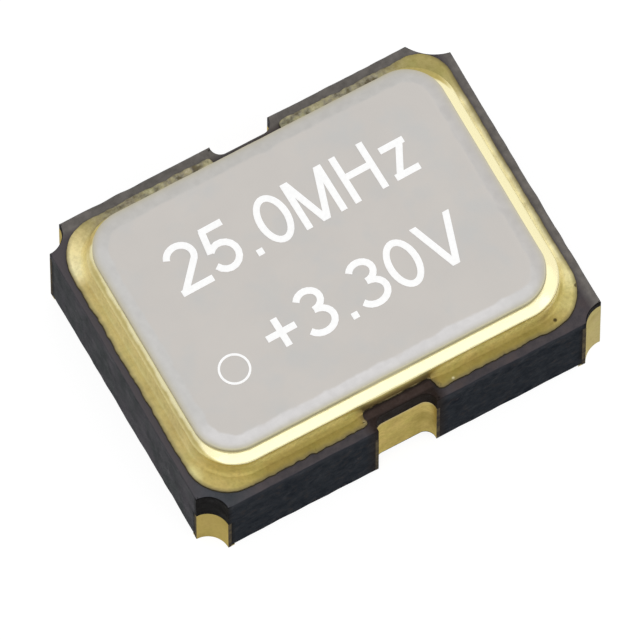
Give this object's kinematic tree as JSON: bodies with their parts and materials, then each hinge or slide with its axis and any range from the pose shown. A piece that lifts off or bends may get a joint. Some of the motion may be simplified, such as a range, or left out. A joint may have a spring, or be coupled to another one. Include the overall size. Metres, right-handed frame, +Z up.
{
  "type": "crystal oscillator",
  "caption": "Surface-mount crystal oscillator in a dark ceramic package with solder pads, plated edge notches, a gold seal ring and a welded metal lid.",
  "frame": {"origin": "middle of the underside, in the plane of the solder pads", "axes": "+X along the length, +Y across the width so that terminal 1 is at low X and low Y, +Z up through the lid"},
  "size_m": [0.0032, 0.0024, 0.0011],
  "materials": {
    "ceramic": "dark fired alumina, matt and finely grained",
    "gold_plating": "electroplated gold, satin",
    "lid_nickel": "nickel-plated sheet, matt",
    "white_ink": "thin white print",
    "silver_adhesive": "silver-filled adhesive, matt",
    "silicon": "passivated silicon, glossy",
    "gold_wire": "bright gold wire",
    "quartz": "polished crystal",
    "electrode_silver": "evaporated silver film"
  },
  "bodies": {
    "root": {"ceramic_base": "ceramic", "seal_band": "gold_plating", "braze_fillet": "gold_plating", "seal_ring": "gold_plating", "lid": "lid_nickel", "lid_marking": "white_ink", "terminal_enable": "gold_plating", "terminal_ground": "gold_plating", "terminal_output": "gold_plating", "terminal_supply": "gold_plating", "side_contact_front": "gold_plating", "side_contact_back": "gold_plating", "lead_enable": "gold_plating", "lead_ground": "gold_plating", "lead_output": "gold_plating", "lead_supply": "gold_plating", "crystal_lead_front": "gold_plating", "crystal_lead_back": "gold_plating", "die_pad": "gold_plating", "die_attach": "silver_adhesive", "oscillator_chip": "silicon", "bond_wire_enable": "gold_wire", "bond_wire_ground": "gold_wire", "bond_wire_output": "gold_wire", "bond_wire_supply": "gold_wire", "bond_wire_crystal_front": "gold_wire", "bond_wire_crystal_back": "gold_wire", "adhesive_front": "silver_adhesive", "adhesive_back": "silver_adhesive", "quartz_plate": "quartz", "electrode_top": "electrode_silver", "electrode_bottom": "electrode_silver"}
  },
  "joints": []
}
